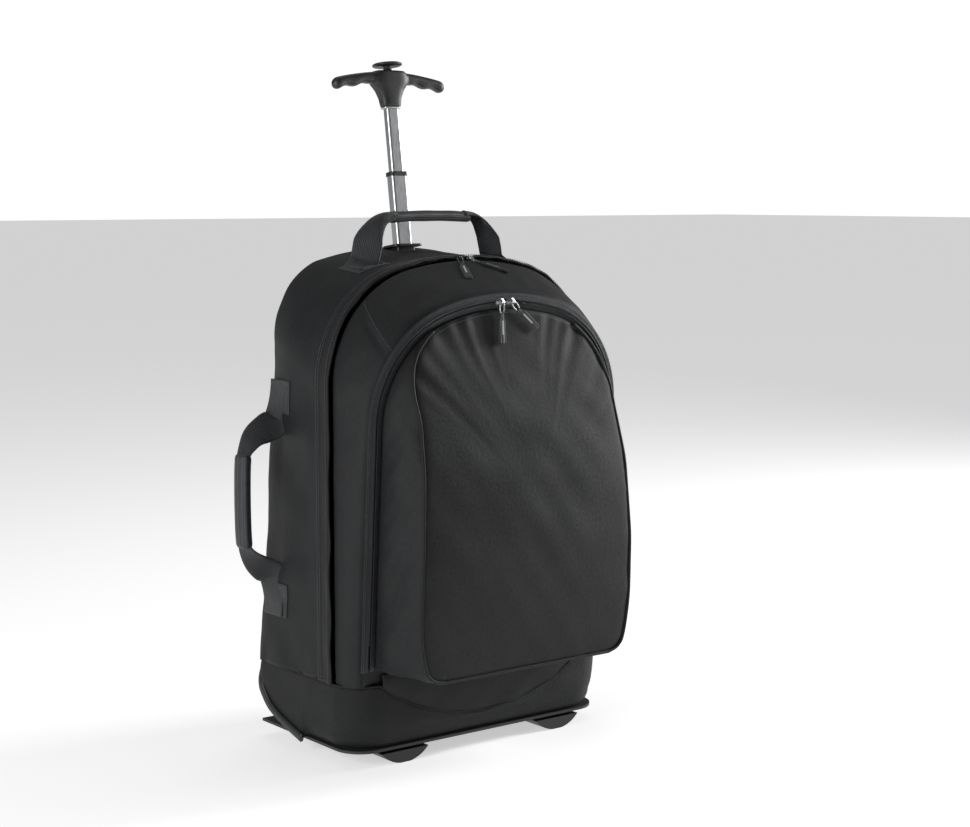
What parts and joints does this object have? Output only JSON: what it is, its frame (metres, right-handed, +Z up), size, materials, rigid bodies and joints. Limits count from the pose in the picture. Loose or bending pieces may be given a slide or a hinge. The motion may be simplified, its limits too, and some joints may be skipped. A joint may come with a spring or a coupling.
{
  "type": "rolling flight bag",
  "caption": "Soft arch-topped rolling flight bag with a zipped front pocket, carry handles and one telescopic pull pole with a T grip.",
  "frame": {"origin": "on the floor, under the middle of the whole bounding box", "axes": "+Z up, -Y out of the front pocket, +X away from the side handle"},
  "size_m": [0.398, 0.2798, 0.7489],
  "materials": {
    "shell_cloth": "black woven polyester",
    "webbing": "black ribbed webbing",
    "zip_tape": "black woven zip tape",
    "board": "moulded sheet",
    "moulded_plastic": "fine textured black",
    "pole_metal": "satin anodised",
    "wheel_tyre": "matt",
    "steel": "zinc plated",
    "slider_metal": "polished gunmetal"
  },
  "bodies": {
    "bag": {"base_boot": "shell_cloth", "base_board": "board", "front_foot_left": "moulded_plastic", "front_foot_right": "moulded_plastic", "foot_screws": "steel", "wheel_housing_left": "moulded_plastic", "wheel_housing_right": "moulded_plastic", "axle_left": "steel", "axle_right": "steel", "rear_gusset": "shell_cloth", "back_panel": "shell_cloth", "back_board": "board", "zip_flap": "shell_cloth", "main_zip_rear_tape": "zip_tape", "top_handle_patches": "webbing", "side_handle_patches": "webbing", "outer_tube": "pole_metal", "pole_outlet": "moulded_plastic", "pole_foot": "moulded_plastic", "pole_screws": "steel"},
    "front_cover": {"cover_gusset": "shell_cloth", "front_panel": "shell_cloth", "lower_panel": "shell_cloth", "main_zip_front_tape": "zip_tape", "pocket_zip_outer_tape": "zip_tape"},
    "pocket": {"pocket_zip_inner_tape": "zip_tape", "pocket_gusset": "shell_cloth", "pocket_face": "shell_cloth", "pocket_piping": "shell_cloth"},
    "wheel_left_body": {"wheel_left": "moulded_plastic", "tyre_left": "wheel_tyre"},
    "wheel_right_body": {"wheel_right": "moulded_plastic", "tyre_right": "wheel_tyre"},
    "top_handle": {"top_handle_webbing": "webbing", "top_handle_grip": "shell_cloth"},
    "side_handle": {"side_handle_webbing": "webbing", "side_handle_grip": "shell_cloth"},
    "lower_pole": {"lower_stage": "pole_metal", "stage_collar": "moulded_plastic", "lower_catch_block": "moulded_plastic"},
    "upper_pole": {"upper_stage": "pole_metal", "grip_bar": "moulded_plastic", "upper_catch_block": "moulded_plastic"},
    "button": {"push_button": "moulded_plastic", "release_rod": "steel"},
    "main_slider_left_body": {"main_slider_left": "slider_metal"},
    "main_pull_left_body": {"main_pull_left": "webbing"},
    "main_slider_right_body": {"main_slider_right": "slider_metal"},
    "main_pull_right_body": {"main_pull_right": "webbing"},
    "pocket_slider_left_body": {"pocket_slider_left": "slider_metal"},
    "pocket_pull_left_body": {"pocket_pull_left": "webbing"},
    "pocket_slider_right_body": {"pocket_slider_right": "slider_metal"},
    "pocket_pull_right_body": {"pocket_pull_right": "webbing"}
  },
  "joints": [
    {"name": "front_cover_hinge", "type": "hinge", "parent": "bag", "child": "front_cover", "pos_m": [0.022, -0.0535, 0.0406], "axis": [1, 0, 0], "range_deg": [0, 40]},
    {"name": "pocket_hinge", "type": "hinge", "parent": "front_cover", "child": "pocket", "pos_m": [0.022, -0.0556, 0.10772], "axis": [1, 0, 0], "range_deg": [0, 30]},
    {"name": "wheel_left_spin", "type": "hinge", "parent": "bag", "child": "wheel_left_body", "pos_m": [-0.094, 0.098, 0.025], "axis": [1, 0, 0], "continuous": true},
    {"name": "wheel_right_spin", "type": "hinge", "parent": "bag", "child": "wheel_right_body", "pos_m": [0.138, 0.098, 0.025], "axis": [1, 0, 0], "continuous": true},
    {"name": "top_handle_fold", "type": "hinge", "parent": "bag", "child": "top_handle", "pos_m": [0.022, 0.0465, 0.542], "axis": [1, 0, 0], "range_deg": [-35, 35]},
    {"name": "side_handle_fold", "type": "hinge", "parent": "bag", "child": "side_handle", "pos_m": [-0.155, 0.095, 0.2725], "axis": [0, 0, 1], "range_deg": [-30, 30]},
    {"name": "lower_stage_slide", "type": "slide", "parent": "bag", "child": "lower_pole", "axis": [0, 0.1392, 0.9903], "range_m": [-0.076, 0.15]},
    {"name": "upper_stage_slide", "type": "slide", "parent": "lower_pole", "child": "upper_pole", "axis": [0, 0.1392, 0.9903], "range_m": [-0.07, 0.16]},
    {"name": "button_press", "type": "slide", "parent": "upper_pole", "child": "button", "axis": [0, -0.1392, -0.9903], "range_m": [0, 0.004], "stiffness_N_per_m": 400},
    {"name": "main_slider_left_run", "type": "hinge", "parent": "front_cover", "child": "main_slider_left_body", "pos_m": [0.022, -0.01725, 0.16937], "axis": [0, -1, 0], "range_deg": [0, 10]},
    {"name": "main_pull_left_lift", "type": "hinge", "parent": "main_slider_left_body", "child": "main_pull_left_body", "pos_m": [0.015, -0.01725, 0.5336], "axis": [-1, 0, 0], "range_deg": [0, 60]},
    {"name": "pocket_slider_left_run", "type": "hinge", "parent": "pocket", "child": "pocket_slider_left_body", "pos_m": [0.022, -0.06621, 0.23189], "axis": [0, -0.9966, -0.0819], "range_deg": [0, 14]},
    {"name": "pocket_pull_left_lift", "type": "hinge", "parent": "pocket_slider_left_body", "child": "pocket_pull_left_body", "pos_m": [0.015, -0.09374, 0.48737], "axis": [-1, 0, 0], "range_deg": [0, 70]},
    {"name": "main_slider_right_run", "type": "hinge", "parent": "front_cover", "child": "main_slider_right_body", "pos_m": [0.022, -0.01725, 0.16937], "axis": [0, 1, 0], "range_deg": [0, 10]},
    {"name": "main_pull_right_lift", "type": "hinge", "parent": "main_slider_right_body", "child": "main_pull_right_body", "pos_m": [0.029, -0.01725, 0.5336], "axis": [-1, 0, 0], "range_deg": [0, 60]},
    {"name": "pocket_slider_right_run", "type": "hinge", "parent": "pocket", "child": "pocket_slider_right_body", "pos_m": [0.022, -0.06621, 0.23189], "axis": [0, 0.9966, 0.0819], "range_deg": [0, 14]},
    {"name": "pocket_pull_right_lift", "type": "hinge", "parent": "pocket_slider_right_body", "child": "pocket_pull_right_body", "pos_m": [0.029, -0.09374, 0.48737], "axis": [-1, 0, 0], "range_deg": [0, 70]}
  ]
}
